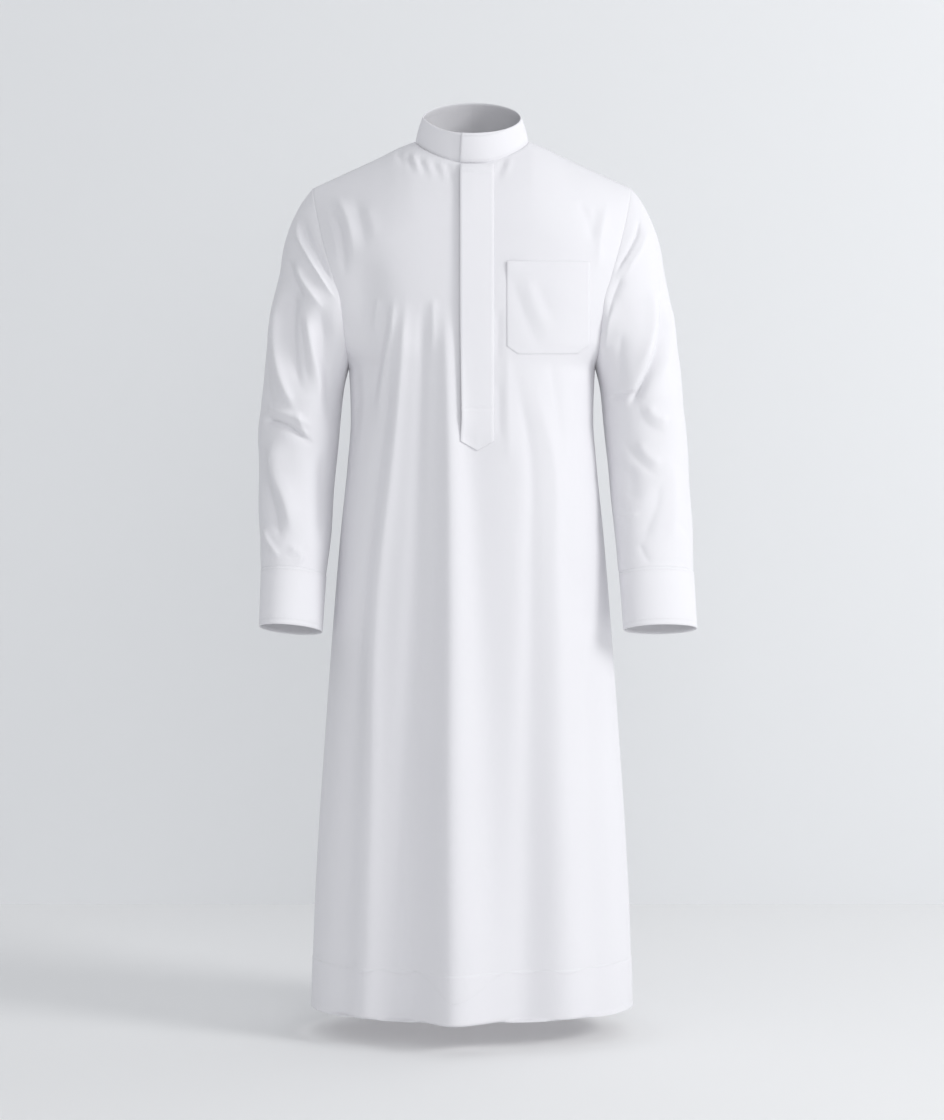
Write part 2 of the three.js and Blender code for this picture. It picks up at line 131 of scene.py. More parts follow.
def curve_through(path, count=28):
    """Points of a smooth curve through a short list of points."""
    path = np.array(path, float)
    if len(path) < 3:
        return path[0] + np.linspace(0, 1, count)[:, None] * (path[-1] - path[0])
    steps = np.concatenate([[0], np.cumsum(np.linalg.norm(np.diff(path, axis=0), axis=1))])
    at = np.linspace(0, steps[-1], count)
    tangents = np.gradient(path, steps, axis=0)
    i = np.clip(np.searchsorted(steps, at, side="right") - 1, 0, len(path) - 2)
    length = (steps[i + 1] - steps[i])[:, None]
    t = ((at - steps[i]) / length[:, 0])[:, None]
    keep = (1 + 2 * t) * (1 - t) ** 2
    return (keep * path[i] + (1 - keep) * path[i + 1]
            + length * (t * (1 - t) ** 2 * tangents[i] - t * t * (1 - t) * tangents[i + 1]))


def fold_rise(folds, x, z):
    """Outward rise of a list of folds at x and z, each seen square to the cloth.

    A fold is (path, width, rise, skew, fade): its line, its half width and height at the
    start and end, how much steeper one flank is, and the share of its length over which
    its two ends fade. A negative rise is a trough.
    """
    total = np.zeros_like(x, float)
    for path, width, rise, skew, fade in folds:
        curve = curve_through(path)
        reach = 3.2 * max(width)
        near = ((x > curve[:, 0].min() - reach) & (x < curve[:, 0].max() + reach)
                & (z > curve[:, 1].min() - reach) & (z < curve[:, 1].max() + reach))
        if not near.any():
            continue
        px, pz = x[near], z[near]
        best = np.full(px.shape, 1e9)
        place = np.zeros(px.shape)
        side = np.zeros(px.shape)
        count = len(curve) - 1
        for i in range(count):
            step = curve[i + 1] - curve[i]
            length = math.hypot(*step)
            step = step / length
            dx, dz = px - curve[i, 0], pz - curve[i, 1]
            t = np.clip(dx * step[0] + dz * step[1], 0, length)
            away = np.hypot(dx - t * step[0], dz - t * step[1])
            closer = away < best
            best = np.where(closer, away, best)
            place = np.where(closer, (i + t / length) / count, place)
            side = np.where(closer, np.sign(dx * step[1] - dz * step[0]), side)
        wide = lerp(width[0], width[1], place) * (1 + skew * side)
        high = lerp(rise[0], rise[1], place)
        ends = smooth(place / max(fade[0], 1e-3)) * smooth((1 - place) / max(fade[1], 1e-3))
        crisp = np.clip(1.35 + 0.65 * (wide - 6) / 14, 1.35, 2)
        total[near] += high * ends * np.exp(-(best / wide) ** crisp)
    return total


FADE = (0.25, 0.3)
GATHER = (0.0, 0.7)
LONG = (0.12, 0.0)

# Folds of the front, as (x, z) lines.
FRONT_FOLDS = [
    # the long ridges and troughs of the skirt, from the wearer's right to the left
    ([(-117, -300), (-137, -455), (-165, -700), (-182, -1000), (-196, -1323)],
     (8, 24), (-4, -6), 0, LONG),
    ([(-98, -225), (-104, -320), (-116, -455), (-143, -700), (-152, -1000), (-163, -1323)],
     (8, 26), (6, 9), 0.2, (0.07, 0)),
    ([(-72, -226), (-75, -320), (-80, -455), (-86, -700), (-98, -1000), (-106, -1323)],
     (8, 28), (-4.6, -9), 0, (0.07, 0)),
    ([(-41, -228), (-37, -340), (-33, -455), (-29, -700), (-28, -1000), (-25, -1323)],
     (10, 46), (4, 44), -0.12, (0.08, 0)),
    ([(66, -322), (74, -386), (86, -448), (89, -640), (86, -900), (80, -1323)],
     (8, 30), (-3.2, -8), 0, LONG),
    ([(91, -340), (104, -400), (119, -455), (127, -640), (132, -900), (142, -1323)],
     (9, 30), (2.6, 8), 0, LONG),
    ([(158, -400), (168, -560), (180, -900), (196, -1323)], (10, 26), (-1.6, -4), 0, LONG),
    # short folds that fall from the chest
    ([(-117, -232), (-121, -281), (-131, -326), (-139, -371), (-145, -425)],
     (6, 7), (5, 4.4), 0.2, (0.15, 0.3)),
    ([(-126, -236), (-134, -290), (-146, -345), (-156, -400)], (6, 8), (-3.4, -3.4), 0, (0.15, 0.3)),
    ([(-142, -232), (-147, -258), (-150, -292)], (4, 5), (2.6, 2.2), 0, (0.15, 0.4)),
    ([(-58, -232), (-58, -270), (-60, -330)], (4.5, 6), (2.4, 2), 0, (0.12, 0.5)),
    ([(39, -245), (39, -290), (38, -334)], (5, 5), (-1.8, -1.8), 0, FADE),
    ([(40, -352), (41, -400), (43, -450)], (5, 6), (-1.6, -1.6), 0, FADE),
    ([(53, -300), (53, -386), (57, -490)], (7, 10), (1.8, 1.8), 0, FADE),
    ([(117, -319), (127, -386), (139, -465)], (7, 8), (-1.8, -1.4), 0, FADE),
    ([(150, -350), (158, -430), (166, -540)], (9, 12), (-1.5, -1.5), 0, FADE),
    ([(-172, -330), (-168, -400), (-172, -480)], (8, 10), (1.6, 1.6), 0, FADE),
    # the shoulder, beside the armhole of the wearer's right
    ([(-210, -76), (-192, -102), (-182, -132), (-178, -178)], (8, 9), (4.4, 4), 0.1, (0.3, 0.45)),
    ([(-180, -78), (-166, -117), (-160, -170)], (8, 9), (-2.8, -2.4), 0, (0.3, 0.45)),
    ([(-160, -93), (-149, -122), (-144, -146)], (8, 8), (1.6, 1.2), 0, FADE),
    ([(-216, -94), (-202, -122), (-195, -160), (-192, -204)], (6, 7), (-4.6, -4.2), 0, FADE),
    ([(-220, -102), (-208, -136), (-202, -176)], (4, 4), (1.8, 1.6), 0, FADE),
    ([(-170, -130), (-161, -230), (-159, -340), (-168, -480)], (30, 28), (-10.5, -8), 0, (0.3, 0.3)),
    # and of the wearer's left
    ([(160, -84), (177, -122), (184, -156)], (8, 8), (-2, -1.8), 0.2, FADE),
    ([(204, -84), (193, -138), (188, -196)], (7, 7), (2.4, 2.2), 0, FADE),
    ([(187, -92), (184, -122), (178, -150)], (6, 6), (-1.4, -1.2), 0, FADE),
    # short gathers under the collar
    ([(-112, -12), (-108, -20), (-98, -42)], (4.5, 6), (-2.6, -2), 0, GATHER),
    ([(-98, -16), (-95, -24), (-86, -50)], (3.5, 5), (-3.2, -2.4), 0, GATHER),
    ([(-90, -18), (-84, -30), (-76, -54)], (3.5, 4), (2.2, 1.8), 0, GATHER),
    ([(-80, -22), (-75, -32), (-66, -58)], (3.4, 4.4), (-2.5, -1.9), 0, GATHER),
    ([(-70, -26), (-64, -36), (-56, -58)], (3.4, 4.4), (1.9, 1.5), 0, GATHER),
    ([(-60, -29), (-54, -38), (-45, -62)], (3.4, 4.4), (-2.5, -1.9), 0, GATHER),
    ([(-49, -30), (-44, -40), (-37, -62)], (3.4, 4.4), (1.9, 1.5), 0, GATHER),
    ([(-38, -31), (-34, -42), (-28, -66)], (3, 4), (-3.2, -2.6), 0, GATHER),
    ([(48, -28), (42, -42), (36, -66)], (4, 5), (-3, -2.2), 0, GATHER),
    ([(58, -26), (52, -40), (44, -60)], (4, 5), (1.8, 1.4), 0, GATHER),
    # soft folds over and beside the pocket
    ([(58, -190), (70, -236), (86, -276), (112, -322)], (9, 12), (-1.8, -1.5), 0, (0.3, 0.4)),
    ([(94, -200), (108, -238), (130, -278)], (10, 12), (-1.3, -1), 0, (0.35, 0.4)),
    ([(78, -196), (94, -244), (118, -296)], (10, 11), (1.5, 1.3), 0, (0.3, 0.4)),
]

# Similar folds of the back.
BACK_FOLDS = [
    ([(-60, -300), (-66, -520), (-74, -860), (-84, HEM_Z)], (16, 36), (-6, -24), 0.1, LONG),
    ([(0, -330), (2, -700), (4, HEM_Z)], (20, 40), (5, 18), 0, LONG),
    ([(64, -320), (70, -560), (80, -900), (92, HEM_Z)], (14, 34), (-6, -22), -0.1, LONG),
    ([(-132, -400), (-146, -800), (-166, HEM_Z)], (14, 30), (5, 12), 0, LONG),
    ([(138, -420), (152, -820), (172, HEM_Z)], (15, 30), (5, 12), 0, LONG),
    ([(-150, -150), (-120, -200), (-96, -270)], (9, 11), (-5, -3.6), 0.2, FADE),
    ([(152, -152), (124, -206), (98, -282)], (9, 11), (-5, -3.6), -0.2, FADE),
    ([(-186, -96), (-178, -150), (-170, -215)], (7, 8), (4.4, 3.4), 0, FADE),
    ([(188, -96), (181, -150), (172, -220)], (7, 8), (4.4, 3.4), 0, FADE),
    ([(-104, -300), (-116, -380), (-124, -470)], (7, 9), (4, 3.4), 0, FADE),
    ([(108, -300), (118, -390), (128, -480)], (7, 9), (4, 3.4), 0, FADE),
    ([(-26, -16), (-28, -70), (-34, -120)], (7, 10), (2.4, 1.6), 0, FADE),
    ([(30, -16), (33, -74), (38, -128)], (7, 10), (-2.4, -1.6), 0, FADE),
]


# ---------------------------------------------------------------- body surface

FRONT = {"sign": -1, "depth": FRONT_DEPTH, "top": FRONT_TOP, "roll": 120, "slope": 20, "folds": FRONT_FOLDS}
BACK = {"sign": 1, "depth": BACK_DEPTH, "top": BACK_TOP, "roll": 110, "slope": 0, "folds": BACK_FOLDS}


def roll_share(side, drop):
    """How much of a side's full depth it has at a drop below the shoulder line."""
    roll, slope = side["roll"], side["slope"]
    drop = np.clip(drop, 0, roll + slope)
    rest = roll - drop
    square = roll * roll + slope * slope
    inside = slope * slope * rest * rest - square * (rest * rest - roll * roll)
    return (-slope * rest + np.sqrt(np.maximum(0, inside))) / square


def full_depth(side, x, z):
    across = np.maximum(0, 1 - (np.abs(x) / along(HALF_WIDTH, z)) ** ROUNDNESS)
    return along(side["depth"], z) * np.sqrt(across)


def plain_depth(side, x, z):
    return full_depth(side, x, z) * roll_share(side, along(side["top"], np.abs(x)) - z)


def height_at(side, x, depth):
    """Height of the unfolded cloth over a point of the shoulders, used at the neck."""
    z = np.zeros_like(np.asarray(x, float))
    for _ in range(8):
        share = np.minimum(1, depth / full_depth(side, x, z))
        z = (along(side["top"], np.abs(x)) - side["roll"] * (1 - np.sqrt(1 - share ** 2))
             - side["slope"] * share)
    return z


def drift(x, z, seed):
    """Slow unevenness of hanging cloth, in upright waves that widen towards the hem."""
    down = (ARMPIT_Z - z) / (ARMPIT_Z - HEM_Z)
    spread = 1 + 0.35 * np.clip(down, 0, 1)
    u = x / spread
    wave = (np.sin(u / 17.0 + 1.9 * seed + 0.6 * np.sin(z / 170.0 + seed))
            + 0.8 * np.sin(u / 29.0 - 1.1 * seed + 0.8 * np.sin(z / 260.0 + 2 * seed))
            + 0.35 * np.sin(u / 9.5 + 2.3 * seed + 1.2 * np.sin(z / 95.0 - seed)))
    return wave * 0.55 * smooth((-230 - z) / 260)


def hem_step(z):
    """The doubled cloth of the hem stands a little proud below its stitching."""
    return HEM_RISE * smooth((HEM_Z + HEM_DEPTH - z) / 2.5 + 0.5)


def body_points(side, x, z):
    """Points of the folded cloth over (x, z), and the outward directions of the plain form."""
    step = 0.8
    along_x = (plain_depth(side, x + step, z) - plain_depth(side, x - step, z)) / (2 * step)
    along_z = (plain_depth(side, x, z + step) - plain_depth(side, x, z - step)) / (2 * step)
    steep = np.clip(along_z, -STEEPEST, STEEPEST)
    normal = unit(np.stack([-along_x, side["sign"] * np.ones_like(x), -steep], axis=-1))
    near_seam = smooth((1 - np.abs(x) / along(HALF_WIDTH, z)) / SEAM_SHARE)
    rise = fold_rise(side["folds"], x, z) + drift(x, z, 1.3 - side["sign"])
    rise = rise * near_seam + hem_step(z)
    plain = np.stack([x, side["sign"] * plain_depth(side, x, z), z], axis=-1)
    return plain + normal * rise[..., None], normal


def even_shares(count):
    """Shares of the half width that are evenly spaced along the cloth, from 0 to 1."""
    depth_to_width = 0.65
    turn = np.linspace(0, math.pi / 2, 2000)
    x = np.sin(turn) ** (2 / ROUNDNESS)
    y = depth_to_width * np.cos(turn)
    run = np.concatenate([[0], np.cumsum(np.hypot(np.diff(x), np.diff(y)))])
    return np.interp(np.linspace(0, run[-1], count + 1), run, x)


def both_sides(half, sign):
    """A row from one side to the other, from its half that starts at the middle."""
    return np.concatenate([sign * half[:0:-1], half])


def panel_grid(side):
    """(x, z) of each point of a front or back panel, in rows from the hem up."""
    below = even_shares(HALF_COLUMNS)
    count = np.arange(HALF_COLUMNS + 1)
    turn = np.minimum(1, count / NECK_COLUMNS) * math.pi / 2
    outer = lerp(NECK_HALF_WIDTH, SHOULDER_HALF, (count - NECK_COLUMNS) / (HALF_COLUMNS - NECK_COLUMNS))
    top_x = np.where(count <= NECK_COLUMNS, NECK_HALF_WIDTH * np.sin(turn), outer)
    neck_z = height_at(side, top_x, NECK_HALF_DEPTH * np.cos(turn))
    top_z = np.where(count < NECK_COLUMNS, neck_z, along(SHOULDER_LINE, top_x))
    below, top_z, top = both_sides(below, -1), both_sides(top_z, 1), both_sides(top_x, -1) / SHOULDER_HALF
    stitched = HEM_Z + HEM_DEPTH
    lines = [stitched + row for row in STITCHED_ROWS] + [HEM_Z + 1.5]
    heights = np.sort(np.concatenate([np.linspace(HEM_Z, ARMPIT_Z, SKIRT_ROWS + 1)[:-1], lines]))
    skirt_z = np.repeat(heights[:, None], len(below), axis=1)
    skirt_x = below * along(HALF_WIDTH, skirt_z)
    t = np.linspace(0, 1, CHEST_ROWS + 1)[:, None]
    chest_z = lerp(ARMPIT_Z, top_z, t)
    chest_x = along(ARMHOLE, chest_z) * lerp(below, top, smooth(t))
    return np.concatenate([skirt_x, chest_x]), np.concatenate([skirt_z, chest_z]), len(heights)


# ---------------------------------------------------------------- meshes

def grid_normals(points, ring=False):
    """Unit normals of a grid of points: across the rows, then up them."""
    if ring:
        body = points[:, :-1]
        across = np.roll(body, -1, axis=1) - np.roll(body, 1, axis=1)
        across = np.concatenate([across, across[:, :1]], axis=1)
    else:
        across = np.gradient(points, axis=1)
    up = np.gradient(points, axis=0)
    return unit(np.cross(across, up))


def facing_out(points, outward):
    """Normals of a sheet of points, turned to the side that outward points to."""
    normals = grid_normals(points)
    return normals * np.sign(np.sum(normals * outward, axis=-1, keepdims=True))


def shell(name, points, outward, thickness, ring=False, slot="poplin", cloth=None):
    """A closed thin shell on a grid of points, with rounded rims and lengths as its UVs.

    The points are its outer side and outward gives the way out. A ring grid repeats its
    first column as its last, which is welded.
    """
    rows, columns = points.shape[:2]
    used = columns - 1 if ring else columns
    thick = np.broadcast_to(thickness, points.shape[:2])[..., None]
    inner = points - outward * thick
    middle = points - outward * thick / 2
    layers = [points[:, :used].reshape(-1, 3), inner[:, :used].reshape(-1, 3)]
    run = np.cumsum(np.linalg.norm(np.diff(points, axis=1, prepend=points[:, :1]), axis=2), axis=1)
    climb = np.cumsum(np.linalg.norm(np.diff(points, axis=0, prepend=points[:1]), axis=2), axis=0)
    run -= run[:, columns // 2][:, None]
    faces, uvs = [], []

    def at(layer, i, j):
        return layer * rows * used + i * used + (j % used)

    i, j = np.meshgrid(np.arange(rows - 1), np.arange(columns - 1), indexing="ij")
    i, j = i.ravel(), j.ravel()
    corners = [(i, j), (i, j + 1), (i + 1, j + 1), (i + 1, j)]
    sense = np.sum(grid_normals(points, ring) * outward) > 0
    for layer in (0, 1):
        order = corners if sense == (layer == 0) else corners[::-1]
        faces.append(np.stack([at(layer, a, b) for a, b in order], axis=1))
        uvs.append(np.stack([np.stack([run[a, b], climb[a, b]], axis=1) for a, b in order], axis=1))

    def rim(outer_ids, inner_ids, centre, away, uv, flip):
        """Closes an edge with a row of points pushed out by half the thickness."""
        start = sum(len(layer) for layer in layers)
        half = np.linalg.norm(points.reshape(-1, 3)[0] - inner.reshape(-1, 3)[0]) / 2
        layers.append(centre + away * half * RIM_BULGE)
        ids = start + np.arange(len(centre))
        count = len(centre)
        nexts = (np.arange(count) + 1) % count if ring else np.arange(1, count)
        here = np.arange(count) if ring else np.arange(count - 1)
        for first, second in ((outer_ids, ids), (ids, inner_ids)):
            quad = np.stack([first[here], first[nexts], second[nexts], second[here]], axis=1)
            faces.append(quad[:, ::-1] if flip else quad)
            coords = np.stack([uv[here], uv[nexts], uv[nexts], uv[here]], axis=1)
            uvs.append(coords[:, ::-1] if flip else coords)

    lengths = np.stack([run, climb], axis=-1)
    for row, inward in ((0, 1), (rows - 1, rows - 2)):
        away = unit(points[row, :used] - points[inward, :used])
        ids = np.arange(used)
        rim(at(0, row, ids), at(1, row, ids), middle[row, :used], away, lengths[row, :used],
            (row == 0) == bool(sense))
    mesh = bpy.data.meshes.new(name)
    if not ring:
        for column, inward in ((0, 1), (columns - 1, columns - 2)):
            away = unit(points[:, column] - points[:, inward])
            ids = np.arange(rows)
            rim(at(0, ids, column), at(1, ids, column), middle[:, column], away, lengths[:, column],
                (column != 0) == bool(sense))
    vertices = np.concatenate(layers) * MM
    polygons = np.concatenate(faces)
    mesh.from_pydata(vertices.tolist(), [], polygons.tolist())
    layer = mesh.uv_layers.new(name="cloth")
    layer.data.foreach_set("uv", (np.concatenate(uvs).reshape(-1) * MM).astype(np.float32))
    return finish_mesh(name, mesh, slot, cloth, close_corners=not ring)


def finish_mesh(name, mesh, slot, cloth, close_corners=False):
    """Makes the object: closes the corners of a sheet, smooths it and gives it its cloth."""
    work = bmesh.new()
    work.from_mesh(mesh)
    if close_corners:
        open_edges = [edge for edge in work.edges if edge.is_boundary]
        bmesh.ops.holes_fill(work, edges=open_edges, sides=0)
    bmesh.ops.recalc_face_normals(work, faces=work.faces)
    work.to_mesh(mesh)
    work.free()
    mesh.polygons.foreach_set("use_smooth", [True] * len(mesh.polygons))
    mesh.materials.append(CLOTHS[cloth or slot])
    piece = bpy.data.objects.new(name, mesh)
    bpy.context.scene.collection.objects.link(piece)
    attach(piece, "root")
    return piece


# ---------------------------------------------------------------- materials
# Lengths here are metres, as in the UVs.
WARP_PITCH = 0.0007
WEFT_PITCH = 0.0008
WAVE_SCALE = 0.314  # scale of Blender's wave texture whose bands are 1 m apart
STITCH_PITCH = 0.0024
STITCH_HALF_WIDTH = 0.0006
CUFF_SEAMS = (0.004, 0.079)
COLLAR_SEAMS = (0.004, 0.040)

# colour, shade, depth of the weave, depth of the rumples
POPLIN = ((0.80, 0.793, 0.82), (0.755, 0.748, 0.778), 0.35, 0.3)
STIFF_POPLIN = ((0.81, 0.803, 0.83), (0.77, 0.763, 0.793), 0.35, 0.12)


def node(tree, kind, **settings):
    made = tree.nodes.new(kind)
    for key, value in settings.items():
        if key in made.inputs:
            made.inputs[key].default_value = value
        else:
            setattr(made, key, value)
    return made


def wave(tree, coordinates, axis, pitch):
    """A run of threads: rounded ridges across one axis of the cloth."""
    threads = node(tree, "ShaderNodeTexWave", wave_type="BANDS", bands_direction=axis, wave_profile="SIN")
    threads.inputs["Scale"].default_value = WAVE_SCALE / pitch
    threads.inputs["Distortion"].default_value = 0.25
    threads.inputs["Detail"].default_value = 1.0
    tree.links.new(coordinates, threads.inputs["Vector"])
    return threads.outputs["Fac"]


def stitching(tree, lengths, seams):
    """Height of rows of stitches: a narrow pucker, with a stitch in it at each pitch."""
    parts = node(tree, "ShaderNodeSeparateXYZ")
    tree.links.new(lengths, parts.inputs["Vector"])
    total = None
    for seam in seams:
        away = node(tree, "ShaderNodeMath", operation="COMPARE")
        away.inputs[1].default_value = seam
        away.inputs[2].default_value = STITCH_HALF_WIDTH
        tree.links.new(parts.outputs["Y"], away.inputs[0])
        if total is None:
            total = away.outputs[0]
            continue
        both = node(tree, "ShaderNodeMath", operation="MAXIMUM")
        tree.links.new(total, both.inputs[0])
        tree.links.new(away.outputs[0], both.inputs[1])
        total = both.outputs[0]
    turns = node(tree, "ShaderNodeMath", operation="MULTIPLY")
    turns.inputs[1].default_value = 2 * math.pi / STITCH_PITCH
    tree.links.new(parts.outputs["X"], turns.inputs[0])
    beat = node(tree, "ShaderNodeMath", operation="SINE")
    tree.links.new(turns.outputs[0], beat.inputs[0])
    thread = node(tree, "ShaderNodeMath", operation="MULTIPLY_ADD")
    thread.inputs[1].default_value = 0.5
    thread.inputs[2].default_value = -0.6
    tree.links.new(beat.outputs[0], thread.inputs[0])
    height = node(tree, "ShaderNodeMath", operation="MULTIPLY")
    tree.links.new(total, height.inputs[0])
    tree.links.new(thread.outputs[0], height.inputs[1])
    return height.outputs[0]


def cloth_material(name, colour, shade, weave_depth, rumple_depth, seams=()):
    """Plain-weave white cloth: threads both ways, thicker yarns here and there, faint rumples.

    seams are the lengths up the cloth, in metres, at which a row of stitches runs across it.
    """
    material = bpy.data.materials.new(name)
    material.use_nodes = True
    tree = material.node_tree
    links = tree.links
    surface = tree.nodes["Principled BSDF"]
    surface.inputs["Roughness"].default_value = 0.86
    surface.inputs["Specular IOR Level"].default_value = 0.28
    surface.inputs["Sheen Weight"].default_value = 0.12
    surface.inputs["Sheen Roughness"].default_value = 0.45
    lengths = node(tree, "ShaderNodeUVMap", uv_map="cloth").outputs["UV"]
    warp = wave(tree, lengths, "X", WARP_PITCH)
    weft = wave(tree, lengths, "Y", WEFT_PITCH)
    weave = node(tree, "ShaderNodeMath", operation="MAXIMUM")
    links.new(warp, weave.inputs[0])
    links.new(weft, weave.inputs[1])
    stretch = node(tree, "ShaderNodeMapping")
    stretch.inputs["Scale"].default_value = (1400, 70, 1)
    links.new(lengths, stretch.inputs["Vector"])
    yarns = node(tree, "ShaderNodeTexNoise", Scale=1.0, Detail=2.0)
    links.new(stretch.outputs["Vector"], yarns.inputs["Vector"])
    place = node(tree, "ShaderNodeTexCoord").outputs["Object"]
    rumples = node(tree, "ShaderNodeTexNoise", Scale=26.0, Detail=4.0, Roughness=0.55)
    links.new(place, rumples.inputs["Vector"])
    clouds = node(tree, "ShaderNodeTexNoise", Scale=5.0, Detail=3.0)
    links.new(place, clouds.inputs["Vector"])
    tint = node(tree, "ShaderNodeMix", data_type="RGBA")
    tint.inputs[6].default_value = (*shade, 1)
    tint.inputs[7].default_value = (*colour, 1)
    blend = node(tree, "ShaderNodeMath", operation="MULTIPLY_ADD")
    blend.inputs[1].default_value = 0.45
    blend.inputs[2].default_value = 0.5
    links.new(clouds.outputs["Fac"], blend.inputs[0])
    lift = node(tree, "ShaderNodeMath", operation="MULTIPLY_ADD")
    lift.inputs[1].default_value = 0.3
    links.new(yarns.outputs["Fac"], lift.inputs[0])
    links.new(blend.outputs[0], lift.inputs[2])
    links.new(lift.outputs[0], tint.inputs[0])
    links.new(tint.outputs[2], surface.inputs["Base Color"])
    fine = node(tree, "ShaderNodeBump", Distance=0.0001)
    fine.inputs["Strength"].default_value = weave_depth
    links.new(weave.outputs[0], fine.inputs["Height"])
    slub = node(tree, "ShaderNodeBump", Distance=0.0002)
    slub.inputs["Strength"].default_value = 0.25
    links.new(yarns.outputs["Fac"], slub.inputs["Height"])
    links.new(fine.outputs["Normal"], slub.inputs["Normal"])
    soft = node(tree, "ShaderNodeBump", Distance=0.0012)
    soft.inputs["Strength"].default_value = rumple_depth
    links.new(rumples.outputs["Fac"], soft.inputs["Height"])
    links.new(slub.outputs["Normal"], soft.inputs["Normal"])
    shown = soft.outputs["Normal"]
    if seams:
        sewn = node(tree, "ShaderNodeBump", Distance=0.0006)
        sewn.inputs["Strength"].default_value = 0.6
        links.new(stitching(tree, lengths, seams), sewn.inputs["Height"])
        links.new(shown, sewn.inputs["Normal"])
        shown = sewn.outputs["Normal"]
    links.new(shown, surface.inputs["Normal"])
    return material


def plain_material(name, colour, roughness):
    material = bpy.data.materials.new(name)
    material.use_nodes = True
    surface = material.node_tree.nodes["Principled BSDF"]
    surface.inputs["Base Color"].default_value = (*colour, 1)
    surface.inputs["Roughness"].default_value = roughness
    surface.inputs["Specular IOR Level"].default_value = 0.2
    return material


def one_way_paint(name, colour, roughness):
    """Paint of the floor and the wall that is clear from its back, so they hide nothing from behind."""
    material = plain_material(name, colour, roughness)
    tree = material.node_tree
    behind = node(tree, "ShaderNodeNewGeometry").outputs["Backfacing"]
    clear = node(tree, "ShaderNodeBsdfTransparent")
    choice = node(tree, "ShaderNodeMixShader")
    tree.links.new(behind, choice.inputs[0])
    tree.links.new(tree.nodes["Principled BSDF"].outputs[0], choice.inputs[1])
    tree.links.new(clear.outputs[0], choice.inputs[2])
    tree.links.new(choice.outputs[0], tree.nodes["Material Output"].inputs["Surface"])
    return material


CLOTHS = {
    "poplin": cloth_material("poplin", *POPLIN),
    "hemmed_poplin": cloth_material("hemmed_poplin", *POPLIN, seams=[(HEM_DEPTH + 1.2) * MM]),
    "stiff_poplin": cloth_material("stiff_poplin", *STIFF_POPLIN),
    "cuff_poplin": cloth_material("cuff_poplin", *STIFF_POPLIN, seams=CUFF_SEAMS),
    "collar_poplin": cloth_material("collar_poplin", *STIFF_POPLIN, seams=COLLAR_SEAMS),
}


# ---------------------------------------------------------------- camera, stage, lights
# Lengths here are metres.
EYE = (0.0, -5.0, -0.263)
AIM = (0.0, 0.0, -0.633)
PIXELS_PER_UNIT = 3265  # the focal length in pixels
LONG_SIDE = 1120  # of the picture, in pixels
FLOOR_Z, WALL_Y, REACH, WALL_HEIGHT = -1.366, 1.10, 9.0, 7
STAGE_COLOURS = {"floor": (0.86, 0.86, 0.862), "wall": (0.81, 0.818, 0.828)}
STAGE_ROUGHNESS = 0.9

# name, place, aim, diameter, watts
LIGHTS = [
    ("key", (4.2, -2.2, 1.5), (0, 0, -0.6), 1.6, 105),
    ("fill", (0.8, -5.2, 1.2), (0, 0, -0.6), 3.0, 38),
    ("under", (0, 0, -0.8), (0, -0.001, -1.3), 0.24, 0.38),
]
SKY_COLOUR = (0.95, 0.97, 1.0, 1)
SKY_STRENGTH = 0.64


def make_camera():
    """Level with the chest, 5 m in front, tipped down to the middle of the robe."""
    camera = bpy.data.objects.new("camera", bpy.data.cameras.new("camera"))
    bpy.context.scene.collection.objects.link(camera)
    camera.location = EYE
    drop = math.atan2(EYE[2] - AIM[2], AIM[1] - EYE[1])
    camera.rotation_euler = (math.pi / 2 - drop, 0, 0)
    camera.data.lens = camera.data.sensor_width * PIXELS_PER_UNIT / LONG_SIDE
    camera.data.clip_end = 60
    bpy.context.scene.camera = camera


def make_stage():
    """A floor, and a wall that stands on it behind the robe."""
    top = FLOOR_Z + WALL_HEIGHT
    near = [(-REACH, -REACH, FLOOR_Z), (REACH, -REACH, FLOOR_Z)]
    corner = [(REACH, WALL_Y, FLOOR_Z), (-REACH, WALL_Y, FLOOR_Z)]
    corners = {
        "floor": [*near, *corner],
        "wall": [*corner[::-1], (REACH, WALL_Y, top), (-REACH, WALL_Y, top)],
    }
    for name, points in corners.items():
        mesh = bpy.data.meshes.new(name)
        mesh.from_pydata(points, [], [(0, 1, 2, 3)])
        mesh.materials.append(one_way_paint(name + "_paint", STAGE_COLOURS[name], STAGE_ROUGHNESS))
        stage = bpy.data.objects.new(name, mesh)
        bpy.context.scene.collection.objects.link(stage)


def make_light(name, position, aim, size, power):
    """A round area light that faces its aim."""
    light = bpy.data.objects.new(name, bpy.data.lights.new(name, "AREA"))
    light.data.shape = "DISK"
    light.data.size = size
    light.data.energy = power
    light.location = position
    direction = np.array(aim, float) - np.array(position, float)
    flat = math.hypot(direction[0], direction[1])
    heading = math.atan2(direction[1], direction[0]) - math.pi / 2
    light.rotation_euler = (math.atan2(flat, -direction[2]), 0, heading)
    bpy.context.scene.collection.objects.link(light)


def make_lights():
    for light in LIGHTS:
        make_light(*light)
    world = bpy.data.worlds.new("studio")
    bpy.context.scene.world = world
    world.use_nodes = True
    sky = world.node_tree.nodes["Background"]
    sky.inputs["Color"].default_value = SKY_COLOUR
    sky.inputs["Strength"].default_value = SKY_STRENGTH
    bpy.context.scene.view_settings.view_transform = "Standard"


# ---------------------------------------------------------------- pieces

